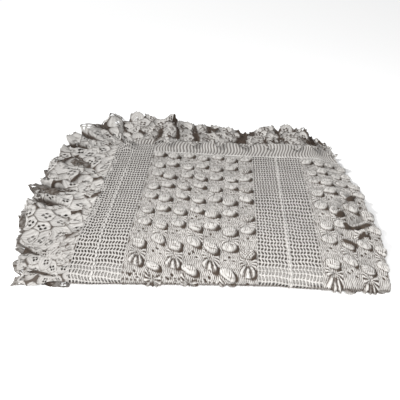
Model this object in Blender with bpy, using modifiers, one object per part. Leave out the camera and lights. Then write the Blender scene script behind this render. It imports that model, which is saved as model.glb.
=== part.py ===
"""A crocheted bedspread folded in eight: in half across its width, then twice across its length.

The folded stack lies on the floor. Its front is the outer fold, its right side is the first fold,
and its left side and back show the free edges with their gathered lace border.
Metres, +Z up, the origin under the middle of the whole stack.
"""

import math

import bpy
import numpy as np

# Driving dimensions, in metres.
CLOTH = 0.0032            # thickness of the crocheted cloth
LACE = 0.0024             # thickness of the lace border
PITCH = 0.0090            # centre to centre of neighbouring layers
LEFT_EDGE = -0.300        # where the body ends and the lace border begins
RIGHT_FOLD = 0.485        # outermost point of the side fold
FRONT_NOSE = 0.635        # centre line of the outer front fold
SHOULDER = 0.750          # where the top begins to slope down to the front fold
INNER_NOSE = 0.742        # centre line of the inner front fold
BACK_NOSE = 1.120         # centre line of the fold between the two lowest passes
FREE_END = 1.205          # free ends of the two upper passes, at the heading
SEAM_GAP = 0.0008         # gap between a free edge and its lace border
CORNER_RADIUS = 0.020     # the lace border's turn at the back left corner
NOSE_RADIUS = 0.017       # radius of the outer front fold, at the middle of its two layers
PLAIN_STRIP = 0.310       # right of this line the side fold is drawn in towards the back

LOWEST = CLOTH / 2        # centre of the cloth that lies on the floor
PASS_LEVELS = [LOWEST + PITCH * (0.5 + 2 * number) for number in range(4)]

# The lace border's reach past the edge and the height of its outer rim, by place along the edge:
# place, distance from the front fold, reach, rim height, wave height
TOP_BORDER = [
    ("front", 0.00, 0.135, 0.030, 0.009),
    ("front left", 0.12, 0.175, 0.036, 0.013),
    ("left", 0.30, 0.205, 0.040, 0.015),
    ("back left", 0.50, 0.195, 0.050, 0.016),
    ("corner", 0.60, 0.185, 0.066, 0.018),
    ("behind", 0.78, 0.128, 0.102, 0.025),
    ("middle", 1.05, 0.112, 0.090, 0.021),
    ("right end", 1.36, 0.090, 0.072, 0.015),
]
# pass, start of its left edge, extra reach, share of the rim height, drop of the rim behind
LOWER_BORDERS = [
    ("third", 0.745, 0.010, 0.76, 0.046),
    ("second", 0.745, 0.017, 0.54, 0.0),
    ("lowest", 0.607, 0.024, 0.33, 0.0),
]
WAVE_LENGTH = 0.070       # from one gather of the border to the next, half way to its rim
END_INSET = 0.012         # the border's right end stops this far inside the side fold
FAN = 4.2                 # how much longer the border is half way to its rim, round the corner
WAVE_DRIFT = 0.31         # length over which the gathers bunch and open
LINEN = (0.62, 0.58, 0.53, 1.0)
LACE_WHITE = (0.68, 0.64, 0.59, 1.0)


def clear_scene():
    for item in list(bpy.data.objects):
        bpy.data.objects.remove(item, do_unlink=True)


def ease(value):
    """0 up to 0, then a soft step up to 1 at 1."""
    part = np.clip(value, 0.0, 1.0)
    return part * part * (3.0 - 2.0 * part)


def yarn_material(name, colour, roughness):
    material = bpy.data.materials.new(name)
    material.use_nodes = True
    shader = material.node_tree.nodes["Principled BSDF"]
    shader.inputs["Base Color"].default_value = colour
    shader.inputs["Roughness"].default_value = roughness
    shader.inputs["Metallic"].default_value = 0.0
    return material


def settle(x, y, z):
    """Lays the square stack down unevenly: soft swells, a squeezed side fold, a slanting front."""
    height = z - LOWEST
    swell = 0.045 * np.sin(9.0 * x + 3.1 * y) + 0.030 * np.sin(17.0 * y - 6.0 * x + 0.8)
    squeeze = 0.30 * ease((x - 0.36) / 0.13) + 0.10 * ease((x - 0.28) / 0.2) * ease((0.85 - y) / 0.2)
    new_z = LOWEST + height * (1.0 + swell) * (1.0 - squeeze)
    drawn_in = 0.052 * ((np.minimum(y, FREE_END) - 0.78) / 0.42) ** 2 + 0.003 * np.sin(31.0 * y)
    new_x = x - drawn_in * ease((x - PLAIN_STRIP) / (RIGHT_FOLD - PLAIN_STRIP))
    slant = 0.052 * (x - LEFT_EDGE) * ease((1.15 - y) / 0.5)
    underlap = 0.014 * ease((x - 0.15) / 0.25) * ease(1.0 - z / 0.045) * ease((0.80 - y) / 0.15)
    new_y = y + np.maximum(slant, 0.0) - underlap
    return np.stack([new_x, new_y, new_z], axis=-1)


def line(start, end, steps):
    """Evenly spaced points from start up to, but not including, end."""
    share = np.arange(steps)[:, None] / steps
    return np.array(start) * (1.0 - share) + np.array(end) * share


def arc(centre, radius, start, turn, steps):
    """Points round an arc, without its last one; angles in degrees from +Y towards +Z."""
    angle = np.radians(start + turn * np.arange(steps) / steps)
    return np.stack([centre[0] + radius * np.cos(angle), centre[1] + radius * np.sin(angle)], axis=-1)


def slope(steps):
    """The shoulder: a soft fall from the top pass to the crown of the outer front fold."""
    share = np.arange(steps) / steps
    crown = LOWEST + PITCH / 2 + 2 * NOSE_RADIUS
    y = SHOULDER + (FRONT_NOSE - SHOULDER) * share
    return np.stack([y, PASS_LEVELS[3] + (crown - PASS_LEVELS[3]) * share ** 1.5], axis=-1)


def fold_line():
    """The four passes and three folds, seen from the side, as points at the middle of two layers."""
    low, second, third, top = PASS_LEVELS
    nose = (FRONT_NOSE, low + NOSE_RADIUS)
    runs = [
        line((FREE_END, top), (SHOULDER, top), 8),
        slope(4),
        arc(nose, NOSE_RADIUS, 90, 180, 6),
        line((FRONT_NOSE, low), (BACK_NOSE, low), 8),
        arc((BACK_NOSE, (low + second) / 2), PITCH, -90, 180, 4),
        line((BACK_NOSE, second), (INNER_NOSE, second), 7),
        arc((INNER_NOSE, (second + third) / 2), PITCH, 270, -180, 4),
        line((INNER_NOSE, third), (FREE_END, third), 7),
        np.array([[FREE_END, third]]),
    ]
    points = np.concatenate(runs)
    along = np.gradient(points, axis=0)
    along /= np.linalg.norm(along, axis=1, keepdims=True)
    outward = np.stack([along[:, 1], -along[:, 0]], axis=-1)
    return points, outward


def pair_profile():
    """Two layers from the left edge to the side fold and back: distance across, and height in the pair."""
    half = PITCH / 2
    turn = RIGHT_FOLD - CLOTH / 2 - half
    across = line((LEFT_EDGE, half), (turn, half), 7)
    round_end = arc((turn, 0.0), half, 90, -180, 4)
    back = line((turn, -half), (LEFT_EDGE, -half), 7)
    return np.concatenate([across, round_end, back, np.array([[LEFT_EDGE, -half]])])


def sheet_object(name, points, thickness, material, collection):
    """An open grid of points, rows by columns, thickened evenly to both sides into one closed cloth."""
    rows, columns = points.shape[:2]
    number = np.arange(rows * columns).reshape(rows, columns)
    corners = [number[:-1, :-1], number[:-1, 1:], number[1:, 1:], number[1:, :-1]]
    faces = np.stack(corners, axis=-1).reshape(-1, 4)
    mesh = bpy.data.meshes.new(name)
    mesh.from_pydata(points.reshape(-1, 3).tolist(), [], faces.tolist())
    mesh.validate()
    mesh.materials.append(material)
    mesh.shade_smooth()
    item = bpy.data.objects.new(name, mesh)
    collection.objects.link(item)
    solid = item.modifiers.new("cloth thickness", "SOLIDIFY")
    solid.thickness = thickness
    solid.offset = 0.0
    solid.use_even_offset = True
    return item


def folded_spread(collection):
    middle, outward = fold_line()
    profile = pair_profile()
    x = np.broadcast_to(profile[None, :, 0], (len(middle), len(profile)))
    yz = middle[:, None, :] + outward[:, None, :] * profile[None, :, 1, None]
    points = settle(x, yz[..., 0], yz[..., 1])
    return sheet_object("folded_spread", points, CLOTH, yarn_material("linen_crochet", LINEN, 0.92), collection)


def left_edge_height(y, level):
    """Height of a pass at the left edge, falling with the shoulder when it is the top pass."""
    if level < PASS_LEVELS[3]:
        return np.full_like(y, level)
    crown = LOWEST + PITCH / 2 + 2 * NOSE_RADIUS
    share = np.clip((SHOULDER - y) / (SHOULDER - FRONT_NOSE), 0.0, 1.0)
    return level + (crown - level) * share ** 1.5


def edge_path(distance, start, end_y, turns):
    """Points of the free edge and its outward direction: up the left side, round the corner, along the back."""
    left_run = end_y - CORNER_RADIUS - start
    corner_run = CORNER_RADIUS * math.pi / 2
    turned = np.clip((distance - left_run) / corner_run, 0.0, 1.0) * math.pi / 2 * turns
    behind = np.maximum(distance - left_run - corner_run, 0.0) * turns
    up = np.minimum(distance, left_run)
    x = LEFT_EDGE - SEAM_GAP + CORNER_RADIUS * (1.0 - np.cos(turned)) + behind
    y = start + up + (CORNER_RADIUS + SEAM_GAP) * np.sin(turned)
    outward = np.stack([-np.cos(turned), np.sin(turned)], axis=-1)
    return x, y, outward


def gather_wave(along):
    """The border's gathers, from -1 to 1, bunched and opened along its middle line."""
    phase = 2 * math.pi * along / WAVE_LENGTH + 0.9 * np.sin(2 * math.pi * along / WAVE_DRIFT)
    return np.sin(phase)


def border(name, level, start, end_y, turns, extra_reach, rim_share, rim_drop, material, collection):
    """One gathered lace border: its inner rim flat on the edge, its outer rim waved."""
    run = end_y - CORNER_RADIUS - start
    if turns:
        run += CORNER_RADIUS * math.pi / 2 + RIGHT_FOLD - END_INSET - LEFT_EDGE
    finely = np.linspace(0.0, run, 400)
    in_corner = (np.abs(finely - end_y + CORNER_RADIUS + start - CORNER_RADIUS * math.pi / 4)
                 < CORNER_RADIUS * math.pi / 4) * turns
    spread = np.concatenate([[0.0], np.cumsum((1.0 + FAN * in_corner[1:]) * np.diff(finely))])
    steps = round(spread[-1] / WAVE_LENGTH * 6)
    fanned = np.linspace(0.0, spread[-1], steps + 1)
    distance = np.interp(fanned, spread, finely)
    place = distance + start - FRONT_NOSE
    x, y, outward = edge_path(distance, start, end_y, turns)
    stations = np.array([row[1:] for row in TOP_BORDER])
    reach, rim, wave = (np.interp(place, stations[:, 0], stations[:, column]) for column in (1, 2, 3))
    behind = ease((place - 0.50) / 0.2) * turns
    wave = np.minimum(wave, rim * LOWER_BORDERS[-1][3] - LACE)
    rim = rim * (rim_share + (1.0 - rim_share) * behind) - rim_drop * behind
    out = np.linspace(0.0, 1.0, 5)[None, :]
    far = (reach + extra_reach)[:, None] * out
    inner = left_edge_height(y, level)[:, None]
    lift = gather_wave(fanned + start - FRONT_NOSE)[:, None] * wave[:, None] * ease(out * 1.15)
    z = inner + (rim[:, None] - inner) * ease(out) + lift
    grid_x = x[:, None] + outward[:, :1] * far
    grid_y = y[:, None] + outward[:, 1:] * far
    points = settle(grid_x, grid_y, z)
    return sheet_object(name, points, LACE, material, collection)


def lace_borders(collection):
    material = yarn_material("lace_crochet", LACE_WHITE, 0.90)
    made = [border("lace_border_top", PASS_LEVELS[3], FRONT_NOSE - 0.007, FREE_END, 1, 0.0, 1.0, 0.0,
                   material, collection)]
    ends = {"third": FREE_END, "second": BACK_NOSE, "lowest": BACK_NOSE}
    for number, (place, start, extra_reach, rim_share, rim_drop) in enumerate(LOWER_BORDERS):
        level = PASS_LEVELS[2 - number]
        made.append(border("lace_border_" + place, level, start, ends[place], int(place == "third"),
                           extra_reach, rim_share, rim_drop, material, collection))
    return made


def stand_on_origin(items):
    """Moves every mesh so that the whole stack stands on the origin, in the middle."""
    bpy.context.view_layer.update()
    depsgraph = bpy.context.evaluated_depsgraph_get()
    corners = []
    for item in items:
        solid = item.evaluated_get(depsgraph).to_mesh()
        flat = np.empty(len(solid.vertices) * 3)
        solid.vertices.foreach_get("co", flat)
        corners.append(flat.reshape(-1, 3))
    everything = np.concatenate(corners)
    low, high = everything.min(axis=0), everything.max(axis=0)
    shift = np.array([(low[0] + high[0]) / 2, (low[1] + high[1]) / 2, 0.0])
    for item in items:
        flat = np.empty(len(item.data.vertices) * 3)
        item.data.vertices.foreach_get("co", flat)
        item.data.vertices.foreach_set("co", (flat.reshape(-1, 3) - shift).ravel())
        item.data.update()


def main():
    clear_scene()
    collection = bpy.data.collections.new("crochet bedspread")
    bpy.context.scene.collection.children.link(collection)
    items = [folded_spread(collection)] + lace_borders(collection)
    stand_on_origin(items)


main()
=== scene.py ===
"""The looks of a folded crochet bedspread: mesh bands, shell panels, heading and gathered lace border.

Every piece is a surface of two parameters on the folded cloth, worked out with numpy: the distance across
the strips, and the distance along them from the free end at the back. The file is laid out as an add-on.
"""

import math
from collections import namedtuple

import bpy
import numpy as np
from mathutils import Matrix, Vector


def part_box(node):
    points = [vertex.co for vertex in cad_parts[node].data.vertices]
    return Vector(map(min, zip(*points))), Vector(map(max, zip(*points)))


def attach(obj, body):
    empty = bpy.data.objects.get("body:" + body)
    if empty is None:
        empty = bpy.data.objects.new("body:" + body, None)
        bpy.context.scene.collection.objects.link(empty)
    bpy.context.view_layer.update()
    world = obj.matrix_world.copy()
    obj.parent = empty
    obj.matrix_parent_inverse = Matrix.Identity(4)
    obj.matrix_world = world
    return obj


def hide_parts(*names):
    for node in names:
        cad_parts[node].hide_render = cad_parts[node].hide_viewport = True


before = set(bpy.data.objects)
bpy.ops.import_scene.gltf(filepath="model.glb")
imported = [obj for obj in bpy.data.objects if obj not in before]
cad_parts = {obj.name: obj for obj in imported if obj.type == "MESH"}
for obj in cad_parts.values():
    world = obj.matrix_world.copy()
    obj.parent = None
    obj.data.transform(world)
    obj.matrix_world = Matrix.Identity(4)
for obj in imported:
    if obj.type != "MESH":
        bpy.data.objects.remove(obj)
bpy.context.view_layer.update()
SPREAD_LOW, SPREAD_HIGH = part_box("folded_spread")

bl_info = {
    "name": "Folded Crochet Bedspread",
    "version": (1, 0, 0),
    "blender": (4, 5, 0),
    "location": "3D View > Sidebar > Bedspread",
    "description": "Builds the stitches, panels and lace border of a folded crochet bedspread",
    "category": "Add Mesh",
}

# The folded stack, in metres, in its own layout: the strips run along Y, the free end behind.
CLOTH = 0.0032            # thickness of the crocheted cloth
PITCH = 0.0090            # centre to centre of neighbouring layers
LEFT_EDGE = -0.300        # where the body ends and the lace border begins
RIGHT_FOLD = 0.485        # outermost point of the side fold
FRONT_NOSE = 0.635        # centre line of the outer front fold
SHOULDER = 0.750          # where the top begins to slope down to the front fold
INNER_NOSE = 0.742        # centre line of the inner front fold
BACK_NOSE = 1.120         # centre line of the fold between the two lowest passes
FREE_END = 1.205          # free ends of the two upper passes, at the heading
NOSE_RADIUS = 0.017       # radius of the outer front fold, at the middle of its two layers
PLAIN_STRIP = 0.310       # right of this line the side fold is drawn in towards the back
DRAWN_IN = 0.052          # how far it is drawn in at the free end
FRONT_SLANT = 0.052       # how far the front edge falls back for each metre to the right
# Worked out from them: from a pass's middle to either of its two layers, the middle of the cloth on the
# floor, the passes' middles from the floor up, the front fold's top, where the side fold begins to turn,
# and the way from this layout to the part's frame.
HALF = PITCH / 2
LOWEST = CLOTH / 2
PASS_LEVELS = [LOWEST + PITCH * (0.5 + 2 * number) for number in range(4)]
FOLD_TOP = LOWEST + HALF + 2 * NOSE_RADIUS
FOLD_TURN = RIGHT_FOLD - LOWEST - HALF
SHIFT = np.array([SPREAD_LOW[0] - LEFT_EDGE, SPREAD_HIGH[1] - FREE_END, 0.0])

# Strips from left to right: where each begins, in metres from the middle of the layout.
CENTRE_LEFT, CENTRE_RIGHT, PANEL_RIGHT = -0.172, 0.157, 0.312
LEFT_RIDGE, RIGHT_RIDGE = -0.2445, 0.2335
HEADING_END = 0.060       # along the cloth, from the free end
PANEL_END = 0.634         # where the fine surface tucks under the front fold
UNDER_START = 0.598       # from here the surface turns under and lies flat
FAR_UNDER = 0.596         # where the edges of the lower layers begin to show

TREBLE = 0.0047           # from one treble of the ground to the next
LONG_TREBLE = 0.0103      # from one long treble of the heading to the next

# Filet mesh: the sample lines of one mesh as shares of its width and height, the half widths of a post and
# a bar, half the width and height of the opening, how far a post leans, and how high a bar lies beside it
MESH_LINES = np.array([0.0, 0.11, 0.22, 0.50, 0.78, 0.89])
ROW_LINES = np.array([0.0, 0.10, 0.19, 0.50, 0.81, 0.90])
POST_HALF, BAR_HALF = 0.22, 0.19
OPEN_WIDE, OPEN_TALL = 0.28, 0.31
POST_LEAN, BAR_HEIGHT = 0.46, 0.70

# Bow-tie shell: half sizes of its pad and cup, and how far the pinch, the cup and the diamond of holes lie
# below the pad's middle; then the holes' distance from the diamond's middle, and their radius
PAD_WIDE, PAD_DEEP = 0.0186, 0.0118
CUP_WIDE, CUP_DEEP = 0.0195, 0.0118
PINCH_BELOW, CUP_BELOW, DIAMOND_BELOW = 0.0220, 0.0425, 0.0765
HOLE_STEP, HOLE_RADIUS = 0.0098, 0.0029
RAY_TURN = 0.42           # angle from one ray of the pinch to the next
CUP_RIBS = 12.5           # the cup's ribs: phase for each radian about the pinch
LAST_CENTRE_COLUMN = 6    # the pads of this column are netted

WORKED_PIECES = (
    "mesh_band_left", "mesh_band_right", "shell_panel_centre", "shell_panel_right", "heading",
    "seam_ridge_left", "seam_ridge_right")

# Soft creases pressed into the stack: place, across, along Y, direction in degrees, half length,
# half width, share of the height
CREASES = [
    ("right diagonal", 0.441, 0.829, 31.0, 0.036, 0.0070, 0.26),
    ("right pit", 0.394, 0.758, -18.0, 0.021, 0.0095, 0.30),
    ("right hook", 0.384, 0.859, 32.0, 0.014, 0.0062, 0.22),
    ("right back", 0.442, 0.951, 43.0, 0.019, 0.0072, 0.24),
    ("right dot", 0.457, 0.910, 60.0, 0.009, 0.0055, 0.18),
    ("right short", 0.399, 0.816, 5.0, 0.014, 0.0060, 0.22),
    ("right second", 0.432, 0.790, 45.0, 0.017, 0.0060, 0.24),
    ("right edge", 0.454, 0.791, 80.0, 0.006, 0.0050, 0.18),
    ("right shallow", 0.415, 0.900, 75.0, 0.080, 0.0160, 0.08),
    ("left long", -0.272, 0.860, 88.0, 0.160, 0.0080, 0.05),
    ("centre back", 0.020, 0.990, 12.0, 0.140, 0.0200, 0.04),
    ("front left", -0.220, 0.705, 6.0, 0.100, 0.0120, 0.05),
]

# The lace border, by place along the edge: distance from the front, reach, rim height, wave height
TOP_BORDER = [
    ("front", 0.00, 0.130, 0.016, 0.003),
    ("front left", 0.11, 0.172, 0.028, 0.011),
    ("left", 0.26, 0.205, 0.040, 0.027),
    ("back left", 0.48, 0.198, 0.050, 0.027),
    ("corner", 0.58, 0.190, 0.072, 0.014),
    ("behind", 0.68, 0.150, 0.085, 0.011),
    ("tuft", 0.735, 0.145, 0.120, 0.010),
    ("past the tuft", 0.78, 0.138, 0.085, 0.008),
    ("middle", 0.88, 0.135, 0.082, 0.008),
    ("right", 1.02, 0.132, 0.070, 0.008),
    ("right hump", 1.16, 0.128, 0.081, 0.008),
    ("right end", 1.34, 0.105, 0.058, 0.006),
]
CORNER_RADIUS = 0.020     # the border's turn at the back left corner
SEAM_GAP = 0.0008         # gap between a free edge and its border
END_INSET = 0.012         # the border's right end stops this far inside the side fold
FOLD_WRAP = 0.030         # how far the upper border runs down round the front fold
FAN = 4.2                 # how much longer the border is half way to its rim, round the corner
WAVE_LENGTH = 0.098       # from one gather to the next
WAVE_DRIFT = 0.31         # length over which the gathers bunch and open

# level is the pass, start and end are the left edge's, and turns is 1 if the run goes on round the corner.
# The reach at the left and behind, the rim height and the wave are shares of the top border's; rim_drop is
# how much lower the rim is behind; the last two are the numbers of samples.
# shade is painted shade laid evenly over a whole run, more on the lower ones
BorderRun = namedtuple("BorderRun", (
    "name", "level", "start", "end", "turns", "reach_left", "reach_behind", "rim", "wave", "rim_drop",
    "first_crest", "shade", "along_steps", "out_steps"))
BORDER_RUNS = [BorderRun(*row) for row in (
    ("upper", 3, FRONT_NOSE - 0.007, FREE_END, 1, 1.00, 1.00, 1.00, 1.00, 0.000, 0.0, 0.00, 1060, 92),
    ("tier", 3, FRONT_NOSE + 0.010, FREE_END, 1, 1.06, 0.52, 0.72, 1.00, -0.006, 2.6, 0.00, 640, 54),
    ("third", 2, INNER_NOSE + 0.003, FREE_END, 1, 1.08, 1.08, 0.56, 1.00, 0.024, 4.3, 0.50, 430, 40),
    ("second", 1, INNER_NOSE + 0.003, BACK_NOSE, 0, 1.10, 1.10, 0.42, 0.90, 0.000, 1.3, 0.45, 220, 40),
    ("lowest", 0, 0.611, BACK_NOSE, 0, 1.13, 1.13, 0.31, 0.85, 0.000, 0.4, 0.25, 280, 52),
)]


class BedspreadSizes(bpy.types.PropertyGroup):
    mesh_row: bpy.props.FloatProperty(
        name="Mesh row", description="Height of one row of filet mesh", default=0.0112, unit="LENGTH")
    strand: bpy.props.FloatProperty(
        name="Strand", description="Half thickness of a worked stitch", default=0.0017, unit="LENGTH")
    shell_height: bpy.props.FloatProperty(
        name="Shell height", description="How far a shell pad stands proud", default=0.0105, unit="LENGTH")
    shell_repeat: bpy.props.FloatProperty(
        name="Shell repeat", description="Length of one repeat of shells", default=0.112, unit="LENGTH")
    column_pitch: bpy.props.FloatProperty(
        name="Column pitch", description="Distance between columns of shells", default=0.0463,
        unit="LENGTH")
    lobe: bpy.props.FloatProperty(
        name="Lace lobe", description="Distance between petals of the lace", default=0.044, unit="LENGTH")


class BedspreadYarns(bpy.types.PropertyGroup):
    cotton: bpy.props.FloatVectorProperty(
        name="Cotton", description="Light linen-white cotton", size=4, subtype="COLOR",
        default=(0.52, 0.504, 0.484, 1.0))
    # painted shade: this dark colour stands for the shade deep between the stitches, mixed in by the shade
    # attribute
    painted_shade: bpy.props.FloatVectorProperty(
        name="Hollow", description="Cotton deep between the stitches", size=4, subtype="COLOR",
        default=(0.055, 0.040, 0.030, 1.0))
    inner: bpy.props.FloatVectorProperty(
        name="Inner layers", description="Shaded cotton of the inner layers", size=4, subtype="COLOR",
        default=(0.46, 0.44, 0.42, 1.0))


class BedspreadStage(bpy.types.PropertyGroup):
    floor: bpy.props.FloatVectorProperty(
        name="Floor", description="Plain pale floor", size=4, subtype="COLOR",
        default=(0.99, 0.99, 0.99, 1.0))
    camera_height: bpy.props.FloatProperty(
        name="Camera height", description="Camera above the floor", default=0.776, unit="LENGTH")
    camera_pitch: bpy.props.FloatProperty(
        name="Camera pitch", description="How far the camera looks down", default=math.radians(38.3),
        subtype="ANGLE")
    camera_turn: bpy.props.FloatProperty(
        name="Camera turn", description="How far the camera is turned to the left",
        default=math.radians(3.9), subtype="ANGLE")


# ---------------------------------------------------------------- the folded cloth

def ease(value):
    """0 up to 0, then a soft step up to 1 at 1."""
    part = np.clip(value, 0.0, 1.0)
    return part * part * (3.0 - 2.0 * part)


def gap(phase):
    """1 half way between two ribs, 0 on each rib, for a phase that is a whole turn from rib to rib."""
    return 0.5 - 0.5 * np.cos(phase)


def chance(*numbers):
    """A repeatable number from 0 to 1 for each set of whole numbers: the fraction of a large sine."""
    total = sum(number * factor for number, factor in zip(numbers, (12.9898, 78.233, 37.719)))
    value = np.sin(total) * 43758.5453
    return value - np.floor(value)


def line(start, end, steps):
    """Evenly spaced points from start up to, but not including, end."""
    share = np.arange(steps)[:, None] / steps
    return np.array(start) * (1.0 - share) + np.array(end) * share


def arc(centre, radius, start, turn, steps):
    """Points round an arc, without its last one; angles in degrees from +Y towards +Z."""
    angle = np.radians(start + turn * np.arange(steps) / steps)
    return np.stack([centre[0] + radius * np.cos(angle), centre[1] + radius * np.sin(angle)], axis=-1)


def slope(steps):
    """The shoulder: a fall with the 1.5th power of the distance, down to the top of the front fold."""
    share = np.arange(steps) / steps
    y = SHOULDER + (FRONT_NOSE - SHOULDER) * share
    return np.stack([y, PASS_LEVELS[3] + (FOLD_TOP - PASS_LEVELS[3]) * share ** 1.5], axis=-1)


def fold_track():
    """The middle of each pass's two layers, seen from the side: distance, place and outward direction.

    Straight passes joined by arcs and by the shoulder's slope; the outward direction is the tangent
    turned by a right angle, smoothed over a few millimetres.
    """
    low, second, third, top = PASS_LEVELS
    nose = (FRONT_NOSE, low + NOSE_RADIUS)
    points = np.concatenate([
        line((FREE_END, top), (SHOULDER, top), 300),
        slope(80),
        arc(nose, NOSE_RADIUS, 90, 180, 40),
        line((FRONT_NOSE, low), (BACK_NOSE, low), 300),
        arc((BACK_NOSE, (low + second) / 2), PITCH, -90, 180, 30),
        line((BACK_NOSE, second), (INNER_NOSE, second), 240),
        arc((INNER_NOSE, (second + third) / 2), PITCH, 270, -180, 30),
        line((INNER_NOSE, third), (FREE_END, third), 280),
        np.array([[FREE_END, third]]),
    ])
    distance = np.concatenate([[0.0], np.cumsum(np.linalg.norm(np.diff(points, axis=0), axis=1))])
    even = np.arange(0.0, distance[-1], 0.001)
    points = np.stack([np.interp(even, distance, points[:, axis]) for axis in (0, 1)], axis=-1)
    along = np.gradient(points, axis=0)
    kernel = np.hanning(9)[:, None] / np.hanning(9).sum()
    padded = np.pad(along, ((4, 4), (0, 0)), mode="edge")
    along = sum(padded[step:step + len(along)] * kernel[step] for step in range(9))
    along /= np.linalg.norm(along, axis=1, keepdims=True)
    return even, points, np.stack([along[:, 1], -along[:, 0]], axis=-1)


TRACK, TRACK_POINTS, TRACK_OUT = fold_track()


def creased(x, y):
    """Share of the height that the soft creases take away: one rounded trough for each row of the table."""
    taken = np.zeros(np.broadcast(x, y).shape)
    for _, across, along_y, direction, half_length, half_width, depth in CREASES:
        turn = math.radians(direction)
        along = (x - across) * math.cos(turn) + (y - along_y) * math.sin(turn)
        aside = (y - along_y) * math.cos(turn) - (x - across) * math.sin(turn)
        taken += depth * np.exp(-(aside / half_width) ** 2 - (along / half_length) ** 4)
    return taken


def settle(x, y, z):
    """Lays the square stack down unevenly: soft swells, creases, a squeezed side fold, a slanting front."""
    height = z - LOWEST
    swell = 0.045 * np.sin(9.0 * x + 3.1 * y) + 0.030 * np.sin(17.0 * y - 6.0 * x + 0.8)
    squeeze = 0.30 * ease((x - 0.36) / 0.13) + 0.10 * ease((x - 0.28) / 0.2) * ease((0.85 - y) / 0.2)
    new_z = LOWEST + height * (1.0 + swell) * (1.0 - squeeze) * (1.0 - creased(x, y))
    drawn_in = DRAWN_IN * ((np.minimum(y, FREE_END) - 0.78) / 0.42) ** 2 + 0.003 * np.sin(31.0 * y)
    new_x = x - drawn_in * ease((x - PLAIN_STRIP) / (RIGHT_FOLD - PLAIN_STRIP))
    slant = FRONT_SLANT * (x - LEFT_EDGE) * ease((1.15 - y) / 0.5)
    underlap = 0.014 * ease((x - 0.15) / 0.25) * ease(1.0 - z / 0.045) * ease((0.80 - y) / 0.15)
    new_y = y + np.maximum(slant, 0.0) - underlap
    return np.stack([new_x, new_y, np.maximum(new_z, 0.0002)], axis=-1) + SHIFT


def on_cloth(across, along, lift):
    """Points at a distance across and along the cloth, raised by lift from the outer layer's middle.

    Across, the outer layer runs to the side fold, round it in a half circle and back as the inner layer.
    """
    turn = np.clip((across - FOLD_TURN) / HALF, 0.0, math.pi)
    back = np.maximum(across - FOLD_TURN - HALF * math.pi, 0.0)
    radius = HALF + lift
    x = np.minimum(across, FOLD_TURN) + radius * np.sin(turn) - back
    offset = radius * np.cos(turn)
    place = [np.interp(along, TRACK, TRACK_POINTS[:, axis]) for axis in (0, 1)]
    out = [np.interp(along, TRACK, TRACK_OUT[:, axis]) for axis in (0, 1)]
    return settle(x, place[0] + out[0] * offset, place[1] + out[1] * offset)


def skewed(across, row):
    """The rows lie aslant near the front: their distance along the cloth grows to the right."""
    return row + 0.085 * (across + 0.15) * ease((row - 0.255) / 0.12)


def pressed(lift, along):
    """Relief flattens where the cloth turns under the front fold and lies on the floor."""
    flat = ease((along - UNDER_START) / 0.030)
    return lift * (1.0 - flat) + np.clip(lift, -0.0012, 0.0012) * flat


def painted_edge_shade(along):
    """Two lines of painted shade along the underside of the front fold, where the edges of the lower layers
    show.
    """
    return 0.6 * ease((along - FAR_UNDER) / 0.005) * gap(2 * math.pi * (along - 0.597) / 0.012)


def blurred(values, radius):
    """A box blur over a square of samples, by running sums along both axes."""
    width = 2 * radius + 1
    for axis in (0, 1):
        values = np.moveaxis(values, axis, 0)
        padded = np.pad(values, ((radius + 1, radius), (0, 0)), mode="edge")
        total = np.cumsum(padded, axis=0)
        values = np.moveaxis((total[width:] - total[:-width]) / width, 0, axis)
    return values


def hollowness(lift, reach, depth):
    """How far each point lies under its surroundings, from 0 to 1."""
    return np.clip((blurred(lift, reach) - lift) / depth, 0.0, 1.0)


# ---------------------------------------------------------------- meshes

def finish_piece(name, points, faces, uv, painted_shade, material):
    """A smooth mesh object from arrays, with the cloth's own lengths as UV map and an attribute of painted
    shade.
    """
    used, compact = np.unique(faces, return_inverse=True)
    faces = compact.reshape(faces.shape)
    points, uv, painted_shade = points[used], uv[used], painted_shade[used]
    mesh = bpy.data.meshes.new(name)
    mesh.vertices.add(len(points))
    mesh.vertices.foreach_set("co", points.astype(np.float32).ravel())
    mesh.loops.add(faces.size)
    mesh.loops.foreach_set("vertex_index", faces.astype(np.int32).ravel())
    mesh.polygons.add(len(faces))
    mesh.polygons.foreach_set("loop_start", np.arange(0, faces.size, 4, dtype=np.int32))
    mesh.update(calc_edges=True)
    layer = mesh.uv_layers.new(name="cloth")
    layer.data.foreach_set("uv", uv[faces.ravel()].astype(np.float32).ravel())
    shade = mesh.attributes.new("painted_shade", "FLOAT", "POINT")
    shade.data.foreach_set("value", painted_shade.astype(np.float32))
    mesh.shade_smooth()
    mesh.materials.append(material)
    mesh.validate()
    piece = bpy.data.objects.new(name, mesh)
    bpy.context.scene.collection.objects.link(piece)
    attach(piece, "root")
    return piece


def grid_faces(rows, columns):
    """Quads of a grid, along the cloth first, so that they face out of the cloth."""
    number = np.arange(rows * columns).reshape(rows, columns)
    return np.stack([number[:-1, :-1], number[1:, :-1], number[1:, 1:], number[:-1, 1:]], axis=-1)


def skin_piece(name, points, uv, painted_shade, material, kept=None):
    """One surface over a grid of points, without the faces that aren't kept."""
    faces = grid_faces(*points.shape[:2])
    faces = faces.reshape(-1, 4) if kept is None else faces[kept]
    return finish_piece(name, points.reshape(-1, 3), faces, uv.reshape(-1, 2), painted_shade.ravel(), material)


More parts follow.
